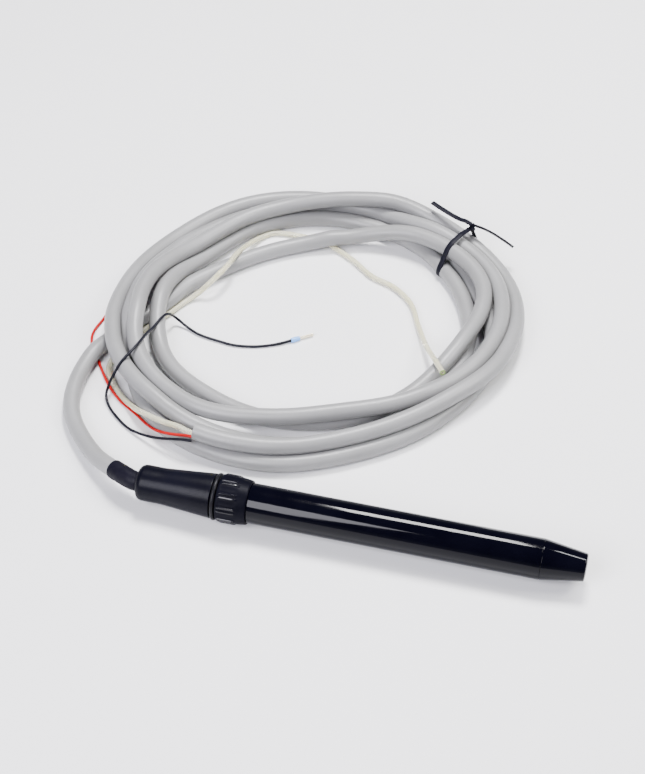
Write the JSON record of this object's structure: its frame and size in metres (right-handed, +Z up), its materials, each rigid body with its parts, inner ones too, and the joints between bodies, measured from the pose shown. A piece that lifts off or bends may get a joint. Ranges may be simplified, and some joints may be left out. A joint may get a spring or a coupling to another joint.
{
  "type": "soil moisture sensor",
  "caption": "Slim black soil moisture probe with a tapered nose, a ribbed screw collar and a strain relief on a coiled grey vented cable with stripped wires.",
  "frame": {"origin": "midway along the probe, on the surface that it lies on, below the probe's axis", "axes": "+X along the probe towards its nose, +Z up, the coil on the +Y side"},
  "size_m": [0.2905, 0.2673, 0.0258],
  "materials": {
    "relief_plastic": "satin moulded black",
    "heat_shrink": "matt heat-shrink",
    "cable_jacket": "satin grey PVC jacket",
    "black_rubber": "matt rubber",
    "zinc_steel": "zinc plated",
    "brass_part": "turned brass",
    "dark_insert": "moulded dark grey",
    "gold_contact": "gold plated",
    "black_insulation": "satin wire insulation",
    "red_insulation": "satin wire insulation",
    "clear_tube": "clear soft tube",
    "ferrule_blue": "light blue polypropylene",
    "tinned_pin": "tinned copper",
    "tie_plastic": "black plastic over a wire core",
    "probe_gloss": "high gloss black",
    "porous_filter": "sintered, porous",
    "steel_capsule": "turned stainless steel",
    "green_board": "solder mask",
    "board_chips": "moulded packages",
    "nut_plastic": "semi-gloss black",
    "slip_plastic": "natural acetal"
  },
  "bodies": {
    "cable_side": {"strain_relief": "relief_plastic", "heat_shrink_sleeve": "heat_shrink", "cable_tail": "cable_jacket", "cable_grommet": "black_rubber", "clamp_washer": "zinc_steel", "gland_screw": "brass_part", "inner_cores": "red_insulation", "contact_insert": "dark_insert", "contact_pins": "gold_contact", "seal_ring": "black_rubber", "cable_lead": "cable_jacket", "cable_coil": "cable_jacket", "black_wire": "black_insulation", "red_wire": "red_insulation", "vent_tube": "clear_tube", "black_ferrule_collar": "ferrule_blue", "black_ferrule_pin": "tinned_pin", "red_ferrule_collar": "ferrule_blue", "red_ferrule_pin": "tinned_pin", "twist_tie": "tie_plastic"},
    "probe_shaft": {"probe_tube": "probe_gloss", "nose_cone": "probe_gloss", "filter_disc": "porous_filter", "nose_seal": "black_rubber", "pressure_capsule": "steel_capsule", "capsule_seal": "black_rubber", "retaining_ring": "brass_part", "circuit_board": "green_board", "board_parts": "board_chips", "socket_insert": "dark_insert", "socket_contacts": "gold_contact", "shaft_collar": "relief_plastic", "slip_ring": "slip_plastic"},
    "collar_nut": {"coupling_nut": "nut_plastic"}
  },
  "joints": [
    {"name": "shaft_slide", "type": "slide", "parent": "cable_side", "child": "probe_shaft", "axis": [1, 0, 0], "range_m": [0, 0.006]},
    {"name": "nut_turn", "type": "hinge", "parent": "probe_shaft", "child": "collar_nut", "pos_m": [-0.06125, 0, 0.0123], "axis": [1, 0, 0], "range_deg": [0, 1440]}
  ],
  "couplings": [
    {"joint": "nut_turn", "follows": "shaft_slide", "rad_per_m": 4188.8}
  ]
}
